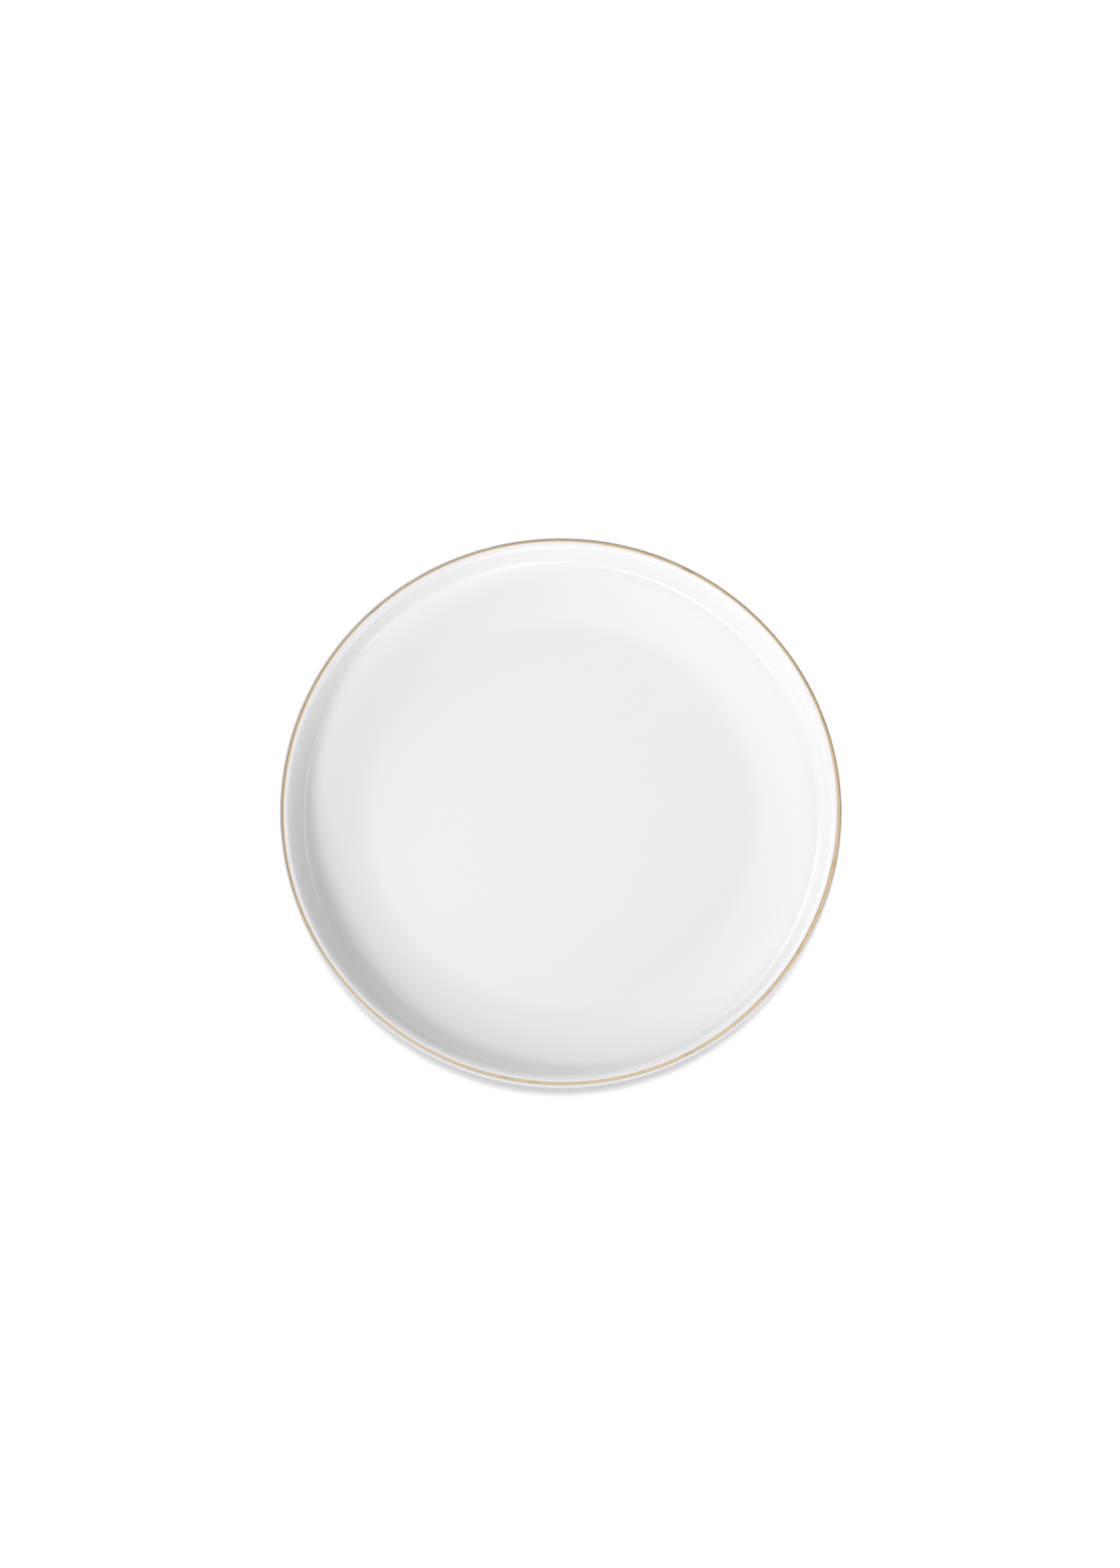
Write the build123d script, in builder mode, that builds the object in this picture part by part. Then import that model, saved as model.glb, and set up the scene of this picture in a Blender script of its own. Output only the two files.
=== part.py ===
"""China dinner plate with an upright wall and a gilt line on the crest of its lip.

Millimetres, +Z up.  The origin is the centre of the foot ring's resting face, so the plate
stands on Z = 0 and its axis is the Z axis.  All four pieces are turned from one half section:

    porcelain_body   the fired clay: well, shoulder, wall, lip and foot ring, in one piece
    outer_glaze      the coat of glaze over the face, the lip, the wall and the back
    base_glaze       the separate patch of glaze inside the foot ring
    gold_line        the gilt line fired onto the crest of the lip

The glaze is wiped off the foot ring before firing, so the bare clay there keeps the two
coats of glaze apart.
"""

from build123d import *

import os
from math import radians, tan

# Driving dimensions
RIM_DIAMETER = 260.0
HEIGHT = 25.0
GLAZE_THICKNESS = 0.2

# Lip: a large inside round and a small outside one; the flat between them carries the gilt line
LIP_INSIDE_ROUND = 3.5
LIP_OUTSIDE_ROUND = 1.8
LIP_FLAT = 0.2
GOLD_WIDTH = 1.5
GOLD_THICKNESS = 0.06

# Face: a slightly crowned well, a gently rising shoulder and a steep wall
WELL_RADIUS = 92.5
WELL_LEVEL = 6.6
WELL_CROWN = 0.2
WELL_BLEND = 42.0
WALL_FOOT_LEVEL = 10.8
WALL_FOOT_BLEND = 4.5
INSIDE_WALL_ANGLE = 79.0

# Back: a steep wall, a rounded heel, and a shoulder that falls to the foot ring
OUTSIDE_WALL_ANGLE = 80.0
HEEL_LEVEL = 6.7
HEEL_BLEND = 13.0
BASE_LEVEL = 2.5

# Foot ring: a slightly tapered ring with a narrow resting face
FOOT_RADIUS = 85.0
FOOT_ROOT_WIDTH = 5.0
FOOT_FACE_WIDTH = 3.0
FOOT_ROOT_BLEND = 1.6
FOOT_EDGE_BLEND = 0.9
BARE_FOOT_HEIGHT = 0.45

# The corners of the half section, as (radius, height), before they are rounded
crest_radius = RIM_DIAMETER / 2 - LIP_OUTSIDE_ROUND - LIP_FLAT / 2
inside_reach = LIP_FLAT / 2 + LIP_INSIDE_ROUND * tan(radians(INSIDE_WALL_ANGLE / 2))
outside_reach = LIP_FLAT / 2 + LIP_OUTSIDE_ROUND * tan(radians(90 - OUTSIDE_WALL_ANGLE / 2))
inside_lean = (HEIGHT - WALL_FOOT_LEVEL) / tan(radians(INSIDE_WALL_ANGLE))
outside_lean = (HEIGHT - HEEL_LEVEL) / tan(radians(OUTSIDE_WALL_ANGLE))

well_centre = (0, WELL_LEVEL + WELL_CROWN)
well_edge = (WELL_RADIUS, WELL_LEVEL)
wall_foot = (crest_radius - inside_reach - inside_lean, WALL_FOOT_LEVEL)
lip_inside = (crest_radius - inside_reach, HEIGHT)
lip_outside = (crest_radius + outside_reach, HEIGHT)
heel = (crest_radius + outside_reach - outside_lean, HEEL_LEVEL)
foot_outer_root = (FOOT_RADIUS + FOOT_ROOT_WIDTH / 2, BASE_LEVEL)
foot_outer_edge = (FOOT_RADIUS + FOOT_FACE_WIDTH / 2, 0)
foot_inner_edge = (FOOT_RADIUS - FOOT_FACE_WIDTH / 2, 0)
foot_inner_root = (FOOT_RADIUS - FOOT_ROOT_WIDTH / 2, BASE_LEVEL)
base_centre = (0, BASE_LEVEL)

blends = {
    well_edge: WELL_BLEND,
    wall_foot: WALL_FOOT_BLEND,
    lip_inside: LIP_INSIDE_ROUND,
    lip_outside: LIP_OUTSIDE_ROUND,
    heel: HEEL_BLEND,
    foot_outer_root: FOOT_ROOT_BLEND,
    foot_outer_edge: FOOT_EDGE_BLEND,
    foot_inner_edge: FOOT_EDGE_BLEND,
    foot_inner_root: FOOT_ROOT_BLEND,
}

# The finished plate's half section, glaze and clay together
with BuildSketch(Plane.XZ) as finished:
    with BuildLine():
        TangentArc(well_centre, well_edge, tangent=(1, 0))
        Polyline(*blends, base_centre, well_centre)
    make_face()
    for corner, blend in blends.items():
        fillet(finished.vertices().sort_by_distance(corner)[0], blend)

# The clay alone: the finished section less one coat of glaze, but whole where the foot rests
with BuildSketch(Plane.XZ) as clay:
    add(finished.sketch_local)
    mirror(about=Plane.YZ)
    offset(amount=-GLAZE_THICKNESS)
    split(bisect_by=Plane.YZ)
    with BuildSketch(mode=Mode.PRIVATE) as bare_foot:
        with Locations((FOOT_RADIUS, 0)):
            Rectangle(FOOT_ROOT_WIDTH, BARE_FOOT_HEIGHT, align=(Align.CENTER, Align.MIN))
        add(finished.sketch_local, mode=Mode.INTERSECT)
    add(bare_foot.sketch_local)

# The two coats of glaze, larger first
with BuildSketch(Plane.XZ) as glaze:
    add(finished.sketch_local)
    add(clay.sketch_local, mode=Mode.SUBTRACT)
outer_coat, base_coat = glaze.sketch_local.faces().sort_by(SortBy.AREA, reverse=True)

with BuildPart() as porcelain_body:
    with BuildSketch(Plane.XZ):
        add(clay.sketch_local)
    revolve(axis=Axis.Z)
porcelain_body.part.label = "porcelain_body"

with BuildPart() as outer_glaze:
    with BuildSketch(Plane.XZ):
        add(outer_coat)
    revolve(axis=Axis.Z)
outer_glaze.part.label = "outer_glaze"

with BuildPart() as base_glaze:
    with BuildSketch(Plane.XZ):
        add(base_coat)
    revolve(axis=Axis.Z)
base_glaze.part.label = "base_glaze"

with BuildPart() as gold_line:
    with BuildSketch(Plane.XZ):
        add(finished.sketch_local)
        offset(amount=GOLD_THICKNESS)
        add(finished.sketch_local, mode=Mode.SUBTRACT)
        with Locations((crest_radius, HEIGHT)):
            Rectangle(GOLD_WIDTH, LIP_OUTSIDE_ROUND, mode=Mode.INTERSECT)
    revolve(axis=Axis.Z)
gold_line.part.label = "gold_line"

os.makedirs("parts", exist_ok=True)
for piece in (porcelain_body, outer_glaze, base_glaze, gold_line):
    export_step(piece.part, f"parts/{piece.part.label}.step")
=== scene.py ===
"""Looks of a china dinner plate with a gilt line on its lip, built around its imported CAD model.

Everything is in metres in the model's own frame: the plate stands on Z = 0 and its axis is Z.
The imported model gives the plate's radius and height. The CAD nodes are replaced by finer meshes
of the same section, turned by a lathe, with the small unevenness that firing leaves. The outer
glaze becomes two meshes, face and back, so that each can have its own lamps. They meet on the
crest of the lip, under the gilt line.
"""

import math

import bpy
import numpy as np
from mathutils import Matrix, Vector


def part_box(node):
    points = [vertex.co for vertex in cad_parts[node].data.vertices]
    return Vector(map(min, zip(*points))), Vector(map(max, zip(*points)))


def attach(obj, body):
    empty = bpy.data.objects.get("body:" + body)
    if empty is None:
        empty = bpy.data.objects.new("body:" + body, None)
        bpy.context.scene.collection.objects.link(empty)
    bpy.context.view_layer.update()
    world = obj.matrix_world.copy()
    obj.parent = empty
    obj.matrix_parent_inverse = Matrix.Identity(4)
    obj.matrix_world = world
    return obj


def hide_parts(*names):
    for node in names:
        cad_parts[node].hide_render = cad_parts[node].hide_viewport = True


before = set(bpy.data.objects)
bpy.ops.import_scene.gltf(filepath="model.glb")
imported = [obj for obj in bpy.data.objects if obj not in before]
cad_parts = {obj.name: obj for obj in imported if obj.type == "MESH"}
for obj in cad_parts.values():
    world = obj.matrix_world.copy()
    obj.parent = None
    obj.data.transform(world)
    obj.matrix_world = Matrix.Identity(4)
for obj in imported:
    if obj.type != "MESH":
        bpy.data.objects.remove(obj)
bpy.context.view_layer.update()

MM = 0.001
TINY = 1e-7

# ---------------------------------------------------------------- sizes
RIM_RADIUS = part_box("outer_glaze")[1].x
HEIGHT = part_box("outer_glaze")[1].z
GLAZE_THICKNESS = 0.2 * MM

# The lip: a large inside round, a narrow flat and a small outside round
LIP_INSIDE_ROUND = 3.5 * MM
LIP_OUTSIDE_ROUND = 1.8 * MM
LIP_FLAT = 0.2 * MM
CREST_RADIUS = RIM_RADIUS - LIP_OUTSIDE_ROUND - LIP_FLAT / 2

# The face: a slightly crowned well, a gently rising shoulder and a steep wall
WELL_RADIUS = 92.5 * MM
WELL_LEVEL = 6.6 * MM
WELL_CROWN = 0.2 * MM
WELL_BLEND = 42.0 * MM
CROWN_RADIUS = WELL_RADIUS - 6.0 * MM
CROWN_POINTS = 16
WALL_FOOT_LEVEL = 10.8 * MM
WALL_FOOT_BLEND = 4.5 * MM
INSIDE_WALL_ANGLE = math.radians(79)

# The back: a steep wall, a rounded heel, and a shoulder that falls to the foot ring
OUTSIDE_WALL_ANGLE = math.radians(80)
HEEL_LEVEL = 6.7 * MM
HEEL_BLEND = 13.0 * MM
BASE_LEVEL = 2.5 * MM

# The foot ring: its edge rounds are small enough to end below the glaze
FOOT_RADIUS = 85.0 * MM
FOOT_ROOT_WIDTH = 5.0 * MM
FOOT_FACE_WIDTH = 3.0 * MM
FOOT_ROOT_BLEND = 1.6 * MM
FOOT_EDGE_BLEND = 0.4 * MM
BARE_FOOT_HEIGHT = 0.45 * MM

# The gilt line: its underside sinks into the glaze, so that no gap shows beneath it
GOLD_WIDTH = 1.35 * MM
GOLD_PLACE = 0.15 * MM
GOLD_THICKNESS = 0.05 * MM
GOLD_SINK = 0.02 * MM

# Unevenness as waves round the rim: how many in a turn, how large, and the phase. The waves of
# the gilt line's width and thickness are shares of them, and the other waves are in metres.
RIM_LIFT_WAVES = ((2, 0.10 * MM, 0.6), (3, 0.05 * MM, 2.1))
RIM_SPREAD_WAVES = ((2, 0.08 * MM, 1.9), (5, 0.03 * MM, 0.4))
GOLD_WIDTH_WAVES = (
    (1, 0.22, -0.2),
    (2, 0.12, -0.1),
    (4, 0.10, 0.5),
    (8, 0.03, 2.0),
    (31, 0.015, 0.3),
)
GOLD_PLACE_WAVES = (
    (1, 0.07 * MM, -0.3),
    (2, 0.14 * MM, -1.1),
    (3, 0.10 * MM, -2.0),
    (4, 0.12 * MM, -1.1),
    (7, 0.04 * MM, 1.1),
)
GOLD_THICKNESS_WAVES = ((5, 0.2, 2.4), (17, 0.1, 0.0))

# Edges that turn by more than this are left sharp in the shading
SHARP_EDGE = math.radians(40)

# ---------------------------------------------------------------- colours
GLAZE_WHITE = (0.817, 0.815, 0.819, 1)
# A painted cool sheen over the lip, for the light that the lip catches, not a colour of the glaze
GLAZE_LIP_PAINTED_SHEEN = (0.815, 0.808, 0.832, 1)
SPECK_BROWN = (0.45, 0.40, 0.34, 1)
CLAY_LOW = (0.74, 0.72, 0.67, 1)
CLAY_HIGH = (0.80, 0.785, 0.75, 1)
CLAY_WORN = (0.52, 0.50, 0.47, 1)
GILT_LOW = (0.51, 0.395, 0.25, 1)
GILT_HIGH = (0.61, 0.475, 0.30, 1)
GILT_THIN = (0.42, 0.31, 0.19, 1)
TABLE_WHITE = (0.80, 0.80, 0.80, 1)

# ---------------------------------------------------------------- view and light
# The camera looks from the -Y side at a point just beyond the middle of the rim's circle
CAMERA_LENS = 44.77
CAMERA_ELEVATION = math.radians(77.4)
CAMERA_DISTANCE = 0.9
CAMERA_ASIDE = -0.4 * MM
CAMERA_BEYOND = 9.0 * MM

TABLE_RADIUS = 3.0
TABLE_GLOW = 0.25
FILL_LIGHT = 0.35
BACKDROP_LIGHT = 0.8
LAMP_DISTANCE = 4.0


# ---------------------------------------------------------------- outlines
def rounded(corners, step=math.radians(4), longest=3.0 * MM):
    """The outline through corners (radius, height, blend): each corner becomes an arc of radius
    blend, and the straight runs between them are divided so that none is over longest."""
    points = [np.array(corners[0][:2])]
    for before, (radius, height, blend), after in zip(corners, corners[1:], corners[2:]):
        corner = np.array((radius, height))
        back = np.array(before[:2]) - corner
        on = np.array(after[:2]) - corner
        back /= np.linalg.norm(back)
        on /= np.linalg.norm(on)
        turn = math.pi - math.acos(np.clip(back @ on, -1, 1))
        if blend == 0 or turn < TINY:
            points.append(corner)
            continue
        start = corner + back * blend * math.tan(turn / 2)
        centre = corner + (back + on) / np.linalg.norm(back + on) * blend / math.cos(turn / 2)
        spoke = start - centre
        side = np.sign(back[0] * on[1] - back[1] * on[0])
        for angle in np.linspace(0, -side * turn, max(3, math.ceil(turn / step) + 1)):
            c, s = math.cos(angle), math.sin(angle)
            points.append(centre + (c * spoke[0] - s * spoke[1], s * spoke[0] + c * spoke[1]))
    points.append(np.array(corners[-1][:2]))
    outline = [points[0]]
    for point in points[1:]:
        run = np.linalg.norm(point - outline[-1])
        if run < TINY:
            continue
        count = math.ceil(run / longest)
        start = outline[-1]
        outline += [start + (point - start) * i / count for i in range(1, count + 1)]
    return np.array(outline)


def inset(outline, depth):
    """The outline moved depth to the right of its direction of travel, ends along their runs."""
    along = np.gradient(outline, axis=0)
    along /= np.linalg.norm(along, axis=1)[:, None]
    return outline + depth * np.stack((along[:, 1], -along[:, 0]), axis=1)


def foot_side(level, side):
    """The radius of the foot ring's tapered side at a height, outside (1) or inside (-1)."""
    width = FOOT_FACE_WIDTH + (FOOT_ROOT_WIDTH - FOOT_FACE_WIDTH) * level / BASE_LEVEL
    return FOOT_RADIUS + side * width / 2


def face_and_back():
    """The finished surface from the middle of the well, over the lip, to the outside of the foot,
    and the number of its point on the crest of the lip."""
    inside_reach = LIP_FLAT / 2 + LIP_INSIDE_ROUND * math.tan(INSIDE_WALL_ANGLE / 2)
    outside_turn = math.pi - OUTSIDE_WALL_ANGLE
    outside_reach = LIP_FLAT / 2 + LIP_OUTSIDE_ROUND * math.tan(outside_turn / 2)
    inside_lean = (HEIGHT - WALL_FOOT_LEVEL) / math.tan(INSIDE_WALL_ANGLE)
    outside_lean = (HEIGHT - HEEL_LEVEL) / math.tan(OUTSIDE_WALL_ANGLE)
    crown = [
        (r, WELL_LEVEL + WELL_CROWN * (1 - (r / WELL_RADIUS) ** 2), 0)
        for r in np.linspace(0, CROWN_RADIUS, CROWN_POINTS)
    ]
    surface = rounded(crown + [
        (WELL_RADIUS, WELL_LEVEL, WELL_BLEND),
        (CREST_RADIUS - inside_reach - inside_lean, WALL_FOOT_LEVEL, WALL_FOOT_BLEND),
        (CREST_RADIUS - inside_reach, HEIGHT, LIP_INSIDE_ROUND),
        (CREST_RADIUS + outside_reach, HEIGHT, LIP_OUTSIDE_ROUND),
        (CREST_RADIUS + outside_reach - outside_lean, HEEL_LEVEL, HEEL_BLEND),
        (FOOT_RADIUS + FOOT_ROOT_WIDTH / 2, BASE_LEVEL, FOOT_ROOT_BLEND),
        (foot_side(BARE_FOOT_HEIGHT, 1), BARE_FOOT_HEIGHT, 0),
    ])
    inner_end_of_flat = int(np.argmax(surface[:, 1] > HEIGHT - TINY))
    return surface, inner_end_of_flat + 1


def base():
    """The finished surface inside the foot ring, from the ring to the middle."""
    return rounded([
        (foot_side(BARE_FOOT_HEIGHT, -1), BARE_FOOT_HEIGHT, 0),
        (FOOT_RADIUS - FOOT_ROOT_WIDTH / 2, BASE_LEVEL, FOOT_ROOT_BLEND),
        (0, BASE_LEVEL, 0),
    ], longest=6.0 * MM)


def foot():
    """The bare ring that the plate stands on, from its outside to its inside."""
    return rounded([
        (foot_side(BARE_FOOT_HEIGHT, 1), BARE_FOOT_HEIGHT, 0),
        (foot_side(0, 1), 0, FOOT_EDGE_BLEND),
        (foot_side(0, -1), 0, FOOT_EDGE_BLEND),
        (foot_side(BARE_FOOT_HEIGHT, -1), BARE_FOOT_HEIGHT, 0),
    ])


# ---------------------------------------------------------------- meshes
def wander(angle, waves):
    """The sum at each angle of cosine waves given as (how many in a turn, how large, phase)."""
    return sum(size * np.cos(count * angle + phase) for count, size, phase in waves)


def fired(points):
    """Moves points the way firing does: outside the well the rim lifts and dips, and goes
    slightly oval, each by about a tenth of a millimetre."""
    radius = np.hypot(points[:, 0], points[:, 1])
    angle = np.arctan2(points[:, 1], points[:, 0])
    share = np.clip((radius - WELL_RADIUS) / (RIM_RADIUS - WELL_RADIUS), 0, 1) ** 2
    grown = 1 + share * wander(angle, RIM_SPREAD_WAVES) / np.maximum(radius, MM)
    return np.stack((
        points[:, 0] * grown,
        points[:, 1] * grown,
        points[:, 2] + share * wander(angle, RIM_LIFT_WAVES),
    ), axis=1)


def add_piece(name, node, slot, vertices, faces, material):
    """A smooth-shaded mesh that stands for a CAD node and rides on the plate."""
    mesh = bpy.data.meshes.new(name)
    mesh.from_pydata(fired(vertices).tolist(), [], faces)
    mesh.shade_smooth()
    mesh.set_sharp_from_angle(angle=SHARP_EDGE)
    mesh.materials.append(material)
    piece = bpy.data.objects.new(name, mesh)
    bpy.context.scene.collection.objects.link(piece)
    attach(piece, "root")
    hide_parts(node)
    return piece


def turned(outline, segments=384):
    """Vertices and faces of a closed outline turned about Z. Points on the axis become poles."""
    angles = np.arange(segments) * 2 * math.pi / segments
    vertices, rings = [], []
    for radius, height in outline:
        first = len(vertices)
        if radius < TINY:
            vertices.append((0, 0, height))
            rings.append([first] * segments)
        else:
            vertices += [(radius * math.cos(a), radius * math.sin(a), height) for a in angles]
            rings.append(list(range(first, first + segments)))
    faces = []
    for here, there in zip(rings, rings[1:] + rings[:1]):
        for i in range(segments):
            j = (i + 1) % segments
            corners = dict.fromkeys((here[i], here[j], there[j], there[i]))
            if len(corners) > 2:
                faces.append(tuple(corners))
    return np.array(vertices), faces


def on_lip(angle, along, rise):
    """Points on the lip: along is the way outwards over the crest, rise is off the surface."""
    side = np.sign(along)
    blend = np.where(side < 0, LIP_INSIDE_ROUND, LIP_OUTSIDE_ROUND)
    tilt = np.maximum(np.abs(along) - LIP_FLAT / 2, 0) / blend
    flat = np.minimum(np.abs(along), LIP_FLAT / 2)
    radius = CREST_RADIUS + side * (flat + (blend + rise) * np.sin(tilt))
    height = HEIGHT - blend + (blend + rise) * np.cos(tilt)
    return np.stack((radius * np.cos(angle), radius * np.sin(angle), height), axis=1)


def gold_band(segments=1200, across=9):
    """Vertices and faces of the brushed line: a thin closed band along the crest of the lip,
    whose width, place and thickness wander as the brush did."""
    angle = np.arange(segments) * 2 * math.pi / segments
    width = GOLD_WIDTH * (1 + wander(angle, GOLD_WIDTH_WAVES))
    middle = GOLD_PLACE + wander(angle, GOLD_PLACE_WAVES)
    thickness = GOLD_THICKNESS * (1 + wander(angle, GOLD_THICKNESS_WAVES))
    vertices = []
    for share in np.linspace(-1, 1, across):
        rise = thickness * math.sqrt(max(0.0, 1 - share ** 4))
        vertices.append(on_lip(angle, middle + share * width / 2, rise))
    for share in np.linspace(1, -1, across):
        vertices.append(on_lip(angle, middle + share * width / 2, -GOLD_SINK))
    rows = len(vertices)
    faces = []
    for row in range(rows):
        here, there = row * segments, (row + 1) % rows * segments
        for i in range(segments):
            j = (i + 1) % segments
            faces.append((here + i, there + i, there + j, here + j))
    return np.concatenate(vertices), faces


def mark_stroke(piece):
    """Stores where each point lies on the brush stroke: metres along it and metres across."""
    at = np.array([v.co for v in piece.data.vertices])
    radius = np.hypot(at[:, 0], at[:, 1])
    angle = np.arctan2(at[:, 1], at[:, 0])
    stroke = np.stack((angle * CREST_RADIUS, radius - CREST_RADIUS, np.zeros(len(at))), axis=1)
    attribute = piece.data.attributes.new("stroke", "FLOAT_VECTOR", "POINT")
    attribute.data.foreach_set("vector", stroke.ravel())


# ---------------------------------------------------------------- materials
class Material:
    """A node material with short ways to add nodes. The point being shaded is in metres."""

    def __init__(self, name):
        self.made = bpy.data.materials.new(name)
        self.made.use_nodes = True
        self.shader = self.made.node_tree.nodes["Principled BSDF"]
        self.point = self.add("ShaderNodeTexCoord").outputs["Object"]

    def add(self, kind, inputs=(), **settings):
        """A new node with its settings and its inputs."""
        node = self.made.node_tree.nodes.new(kind)
        for setting, value in settings.items():
            setattr(node, setting, value)
        self.put(node, inputs)
        return node

    def put(self, node, inputs):
        """Sets or links a node's inputs, given by name or by number."""
        for key, value in dict(inputs).items():
            if isinstance(value, bpy.types.NodeSocket):
                self.made.node_tree.links.new(value, node.inputs[key])
            else:
                node.inputs[key].default_value = value

    def calculate(self, operation, *values):
        inputs = dict(enumerate(values))
        return self.add("ShaderNodeMath", inputs, operation=operation).outputs[0]

    def noise(self, size, detail=2.0, point=None):
        """Soft noise from 0 to 1 whose features are about size metres across."""
        inputs = {"Vector": point or self.point, "Scale": 1 / size, "Detail": detail}
        return self.add("ShaderNodeTexNoise", inputs).outputs[0]

    def height(self):
        """How high the shaded point is above the table."""
        return self.add("ShaderNodeSeparateXYZ", {0: self.point}).outputs[2]

    def ramp(self, value, low, high, out_low=0.0, out_high=1.0):
        """Goes smoothly from out_low to out_high as value goes from low to high."""
        inputs = {0: value, 1: low, 2: high, 3: out_low, 4: out_high}
        node = self.add("ShaderNodeMapRange", inputs, interpolation_type="SMOOTHSTEP")
        return node.outputs[0]

    def mix(self, share, first, second):
        """A colour between the first, at share 0, and the second, at share 1."""
        inputs = {0: share, 6: first, 7: second}
        return self.add("ShaderNodeMix", inputs, data_type="RGBA").outputs[2]

    def bump(self, height, distance, under=None):
        """Height is 0 to 1 for a relief of distance metres, on top of an earlier bump."""
        inputs = {"Height": height, "Distance": distance, "Strength": 1.0}
        if under is not None:
            inputs["Normal"] = under
        return self.add("ShaderNodeBump", inputs).outputs[0]


def specks(m, spacing=24 * MM, without=0.72, edge=0.016, core=0.006):
    """How much each point is in a speck: one in the middle of each cell of about spacing across,
    apart from the share of the cells that is without. Edge and core are parts of a cell."""
    cells = m.add("ShaderNodeTexVoronoi", {"Vector": m.point, "Scale": 1 / spacing})
    lot = m.add("ShaderNodeSeparateColor", {0: cells.outputs["Color"]}).outputs[0]
    chosen = m.calculate("GREATER_THAN", lot, without)
    return m.calculate("MULTIPLY", m.ramp(cells.outputs["Distance"], edge, core), chosen)


def glaze_material():
    """Clear gloss over white porcelain: a painted cool sheen over the lip, where it catches the
    light, with a faint unevenness of the surface and a few iron specks."""
    m = Material("glazed_porcelain")
    # Painted cool sheen on the top few millimetres of the plate, where the lip catches the light
    painted_lip_sheen = m.ramp(m.height(), HEIGHT - 3.0 * MM, HEIGHT - 1.5 * MM)
    white = m.mix(painted_lip_sheen, GLAZE_WHITE, GLAZE_LIP_PAINTED_SHEEN)
    grain = m.bump(m.noise(4 * MM, detail=1.0), 0.002 * MM)
    ripple = m.bump(m.noise(30 * MM, detail=1.0), 0.05 * MM, under=grain)
    m.put(m.shader, {
        "Base Color": m.mix(m.calculate("MULTIPLY", specks(m), 0.35), white, SPECK_BROWN),
        "Roughness": 0.26,
        "IOR": 1.5,
        "Normal": ripple,
    })
    return m.made


def clay_material():
    """Bare fired clay: matt, a little warmer than the glaze, finely grained, and polished
    darker where the ring has slid on shelves and tables."""
    m = Material("bare_porcelain")
    grain = m.noise(0.35 * MM, detail=4.0)
    clay = m.mix(m.ramp(grain, 0.35, 0.7), CLAY_LOW, CLAY_HIGH)
    at_bottom = m.ramp(m.height(), 0.12 * MM, 0.0)
    patches = m.ramp(m.noise(6 * MM, detail=3.0), 0.45, 0.7)
    worn = m.calculate("MULTIPLY", at_bottom, patches)
    m.put(m.shader, {
        "Base Color": m.mix(m.calculate("MULTIPLY", worn, 0.5), clay, CLAY_WORN),
        "Roughness": m.ramp(grain, 0.3, 0.7, 0.65, 0.9),
        "IOR": 1.5,
        "Normal": m.bump(grain, 0.02 * MM),
    })
    return m.made


def gold_material():
    """Burnished gilt with the streaks of the banding brush, browner where it went on thin."""
    m = Material("gilding")
    stroke = m.add("ShaderNodeAttribute", attribute_name="stroke").outputs["Vector"]
    drawn_out = m.add("ShaderNodeVectorMath", {0: stroke, 1: (1, 40, 1)}, operation="MULTIPLY")
    streak = m.noise(14 * MM, detail=3.0, point=drawn_out.outputs[0])
    gilt = m.mix(m.ramp(streak, 0.35, 0.65), GILT_LOW, GILT_HIGH)
    thin = m.ramp(m.noise(9 * MM), 0.55, 0.8)
    m.put(m.shader, {
        "Base Color": m.mix(thin, gilt, GILT_THIN),
        "Metallic": 1.0,
        "Roughness": m.ramp(streak, 0.3, 0.7, 0.42, 0.54),
        "Normal": m.bump(streak, 0.004 * MM),
    })
    return m.made


def table_material():
    """Matt white with a faint glow of its own, as a light table has."""
    m = Material("light_table")
    m.put(m.shader, {
        "Base Color": TABLE_WHITE,
        "Roughness": 0.9,
        "Emission Color": (1, 1, 1, 1),
        "Emission Strength": TABLE_GLOW,
    })
    return m.made


# ---------------------------------------------------------------- the plate
coat, crest = face_and_back()
coat_inside = inset(coat, GLAZE_THICKNESS)
coat_inside[0] = (0, coat[0][1] - GLAZE_THICKNESS)
base_coat = base()
base_inside = inset(base_coat, GLAZE_THICKNESS)
base_inside[-1] = (0, base_coat[-1][1] + GLAZE_THICKNESS)

face_outline = np.concatenate((coat[:crest + 1], coat_inside[crest::-1]))
back_outline = np.concatenate((coat[crest:], coat_inside[:crest - 1:-1]))
base_outline = np.concatenate((base_coat, base_inside[::-1]))
clay_outline = np.concatenate((coat_inside, foot(), base_inside))

glaze = glaze_material()
clay = clay_material()
gold = gold_material()
face = add_piece("face_glaze_coat", "outer_glaze", "glaze", *turned(face_outline), glaze)
back = add_piece("back_glaze_coat", "outer_glaze", "glaze", *turned(back_outline), glaze)
under = add_piece("base_glaze_coat", "base_glaze", "base_glaze", *turned(base_outline), glaze)
body = add_piece("clay_body", "porcelain_body", "porcelain", *turned(clay_outline), clay)
gilt_line = add_piece("gilt_line", "gold_line", "gilding", *gold_band(), gold)
mark_stroke(gilt_line)


# ---------------------------------------------------------------- table, light and camera
def light_table(sides=96):
    """A round white light table, large enough that every view from above ends on it."""
    angles = np.arange(sides) * 2 * math.pi / sides
    edge = [(TABLE_RADIUS * math.cos(a), TABLE_RADIUS * math.sin(a), 0) for a in angles]
    mesh = bpy.data.meshes.new("light_table")
    mesh.from_pydata(edge, [], [range(sides)])
    mesh.materials.append(table_material())
    table = bpy.data.objects.new("light_table", mesh)
    bpy.context.scene.collection.objects.link(table)
    return table


def group(name, *objects):
    """A collection of objects that is only used to say what a lamp lights."""
    made = bpy.data.collections.new(name)
    for thing in objects:
        made.objects.link(thing)
    return made


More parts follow.
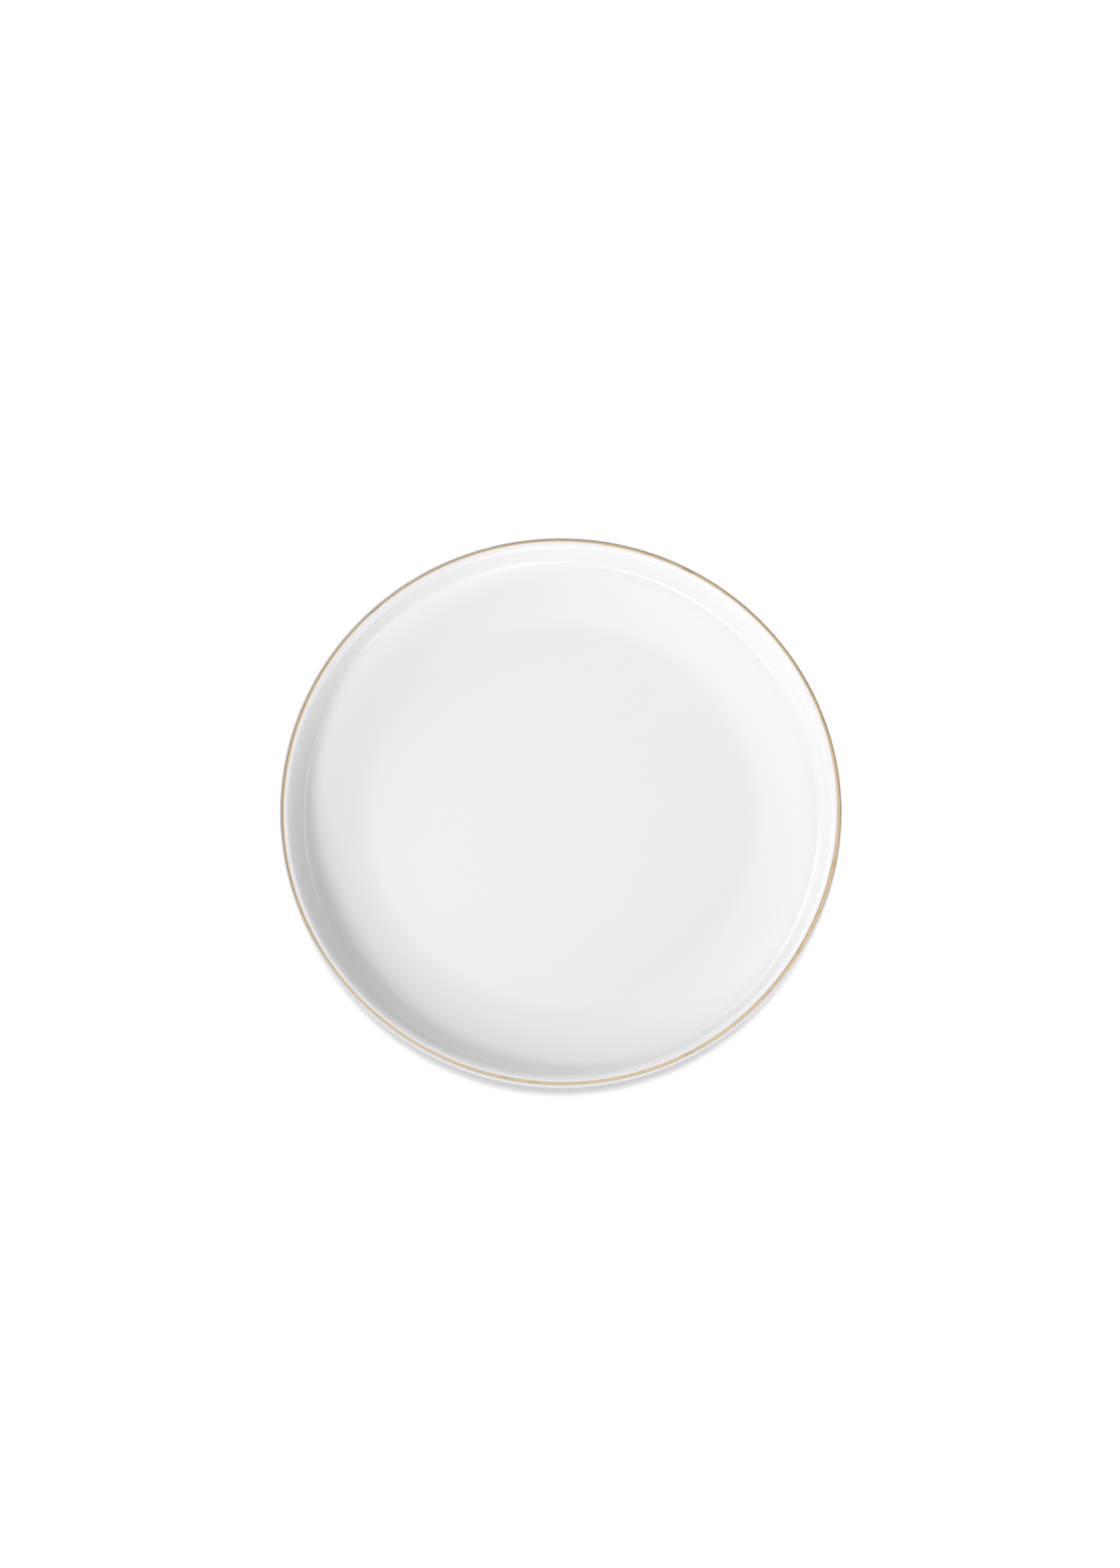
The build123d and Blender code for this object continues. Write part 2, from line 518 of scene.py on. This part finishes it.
def softbox(name, azimuth, elevation, spread, power, lit):
    """A round area light aimed at the middle of the plate, which only lights the objects in lit.
    Azimuth 0 is the camera's side; spread is the angle that its radius covers, from the plate."""
    data = bpy.data.lights.new(name, "AREA")
    data.shape = "DISK"
    data.size = 2 * LAMP_DISTANCE * math.tan(math.radians(spread))
    data.energy = power
    lamp = bpy.data.objects.new(name, data)
    bpy.context.scene.collection.objects.link(lamp)
    a, e = math.radians(azimuth), math.radians(elevation)
    place = Vector((math.sin(a) * math.cos(e), -math.cos(a) * math.cos(e), math.sin(e)))
    lamp.location = place * LAMP_DISTANCE
    lamp.rotation_euler = (-place).to_track_quat("-Z", "Y").to_euler()
    lamp.visible_camera = False
    lamp.light_linking.receiver_collection = lit


def sky():
    """Even fill light from all round, and the brighter backdrop that the camera sees in it."""
    world = bpy.data.worlds.new("studio")
    bpy.context.scene.world = world
    world.use_nodes = True
    nodes, links = world.node_tree.nodes, world.node_tree.links
    seen = nodes.new("ShaderNodeMapRange")
    links.new(nodes.new("ShaderNodeLightPath").outputs["Is Camera Ray"], seen.inputs["Value"])
    seen.inputs["To Min"].default_value = FILL_LIGHT
    seen.inputs["To Max"].default_value = BACKDROP_LIGHT
    background = nodes["Background"]
    background.inputs["Color"].default_value = (1, 1, 1, 1)
    links.new(seen.outputs["Result"], background.inputs["Strength"])


def camera():
    """The camera, looking steeply down at the plate from its -Y side."""
    data = bpy.data.cameras.new("camera")
    data.lens = CAMERA_LENS
    data.clip_start = 0.01
    data.clip_end = 20
    eye = bpy.data.objects.new("camera", data)
    bpy.context.scene.collection.objects.link(eye)
    rim_centre = Vector((0, 0, HEIGHT))
    sight = Vector((0, -math.cos(CAMERA_ELEVATION), math.sin(CAMERA_ELEVATION)))
    eye.location = rim_centre + CAMERA_DISTANCE * sight
    target = rim_centre + Vector((CAMERA_ASIDE, CAMERA_BEYOND, 0))
    eye.rotation_mode = "QUATERNION"
    eye.rotation_quaternion = (target - eye.location).to_track_quat("-Z", "Y")
    bpy.context.scene.camera = eye


on_table = group("lit_table", light_table())
on_face = group("lit_face", face)
on_back = group("lit_back", back, under, body)
on_gilt = group("lit_gilt", gilt_line)
sky()

# The key comes from the near left, in three boxes, and leaves that side of the wall in shade
softbox("key_high", azimuth=-55, elevation=48, spread=8, power=44, lit=on_face)
softbox("key", azimuth=-40, elevation=38, spread=8, power=17, lit=on_face)
softbox("key_low", azimuth=-25, elevation=32, spread=8, power=25, lit=on_face)

# Weaker boxes on the other sides set how bright the rest of the wall is, and one over the well
softbox("near", azimuth=10, elevation=13, spread=11, power=29, lit=on_face)
softbox("right_low", azimuth=60, elevation=13, spread=11, power=19, lit=on_face)
softbox("right_high", azimuth=110, elevation=56, spread=14, power=26, lit=on_face)
softbox("back", azimuth=-140, elevation=13, spread=11, power=18, lit=on_face)
softbox("back_left", azimuth=-120, elevation=24, spread=12, power=39, lit=on_face)
softbox("over", azimuth=-120, elevation=76, spread=14, power=8, lit=on_face)

# The outside, the gilt line and the table have lamps of their own
softbox("outside", azimuth=-30, elevation=50, spread=24, power=65, lit=on_back)
softbox("outside_right", azimuth=70, elevation=40, spread=24, power=45, lit=on_back)
softbox("gilt", azimuth=50, elevation=78, spread=42, power=175, lit=on_gilt)
softbox("wash", azimuth=180, elevation=86, spread=7, power=130, lit=on_table)
camera()
bpy.context.scene.view_settings.view_transform = "Standard"
